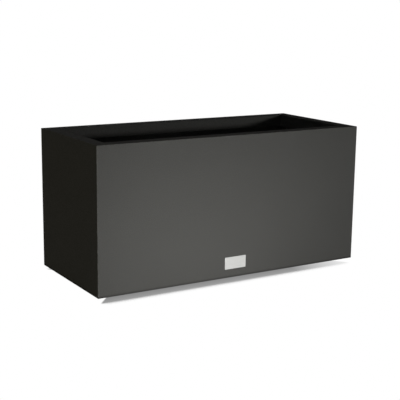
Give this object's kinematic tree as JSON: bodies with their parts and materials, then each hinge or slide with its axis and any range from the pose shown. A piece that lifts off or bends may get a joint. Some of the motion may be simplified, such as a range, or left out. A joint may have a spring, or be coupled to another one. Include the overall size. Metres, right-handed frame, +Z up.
{
  "type": "planter box",
  "caption": "Long rectangular steel floor planter with an open top, a wide folded rim with a turned-down lip, a ribbed drain pan, lift-out drain plugs and rubber feet.",
  "frame": {"origin": "on the floor under the middle of the box", "axes": "+X along the length, -Y out of the front with the plate, +Z up"},
  "size_m": [0.93, 0.407, 0.457],
  "materials": {
    "coated_steel": "satin charcoal powder coat over galvanized sheet",
    "galvanized_steel": "bare zinc with a fine spangle",
    "zinc_fasteners": "zinc plated",
    "foot_rubber": "moulded, matt",
    "plug_rubber": "moulded, matt",
    "badge_metal": "brushed, bare",
    "adhesive_foam": "foam pad"
  },
  "bodies": {
    "planter": {"front_panel": "coated_steel", "back_panel": "coated_steel", "left_end_panel": "coated_steel", "right_end_panel": "coated_steel", "corner_angle_front_left": "coated_steel", "corner_angle_front_right": "coated_steel", "corner_angle_back_left": "coated_steel", "corner_angle_back_right": "coated_steel", "rim_gusset_front_left": "coated_steel", "rim_gusset_front_right": "coated_steel", "rim_gusset_back_left": "coated_steel", "rim_gusset_back_right": "coated_steel", "brace_bracket_front": "coated_steel", "brace_bracket_back": "coated_steel", "base_pan": "galvanized_steel", "cross_brace": "galvanized_steel", "base_rivets": "zinc_fasteners", "foot_screws": "zinc_fasteners", "foot_washers": "zinc_fasteners", "foot_nuts": "zinc_fasteners", "brace_bolts": "zinc_fasteners", "brace_nuts": "zinc_fasteners", "foot_front_left": "foot_rubber", "foot_front_right": "foot_rubber", "foot_back_left": "foot_rubber", "foot_back_right": "foot_rubber", "badge_plate": "badge_metal", "badge_adhesive_pad": "adhesive_foam"},
    "drain_plug_front_left": {"drain_plug_front_left": "plug_rubber"},
    "drain_plug_front_right": {"drain_plug_front_right": "plug_rubber"},
    "drain_plug_back_left": {"drain_plug_back_left": "plug_rubber"},
    "drain_plug_back_right": {"drain_plug_back_right": "plug_rubber"}
  },
  "joints": [
    {"name": "drain_plug_front_left_lift", "type": "slide", "parent": "planter", "child": "drain_plug_front_left", "axis": [0, 0, 1], "range_m": [0, 0.47]},
    {"name": "drain_plug_front_right_lift", "type": "slide", "parent": "planter", "child": "drain_plug_front_right", "axis": [0, 0, 1], "range_m": [0, 0.47]},
    {"name": "drain_plug_back_left_lift", "type": "slide", "parent": "planter", "child": "drain_plug_back_left", "axis": [0, 0, 1], "range_m": [0, 0.47]},
    {"name": "drain_plug_back_right_lift", "type": "slide", "parent": "planter", "child": "drain_plug_back_right", "axis": [0, 0, 1], "range_m": [0, 0.47]}
  ]
}
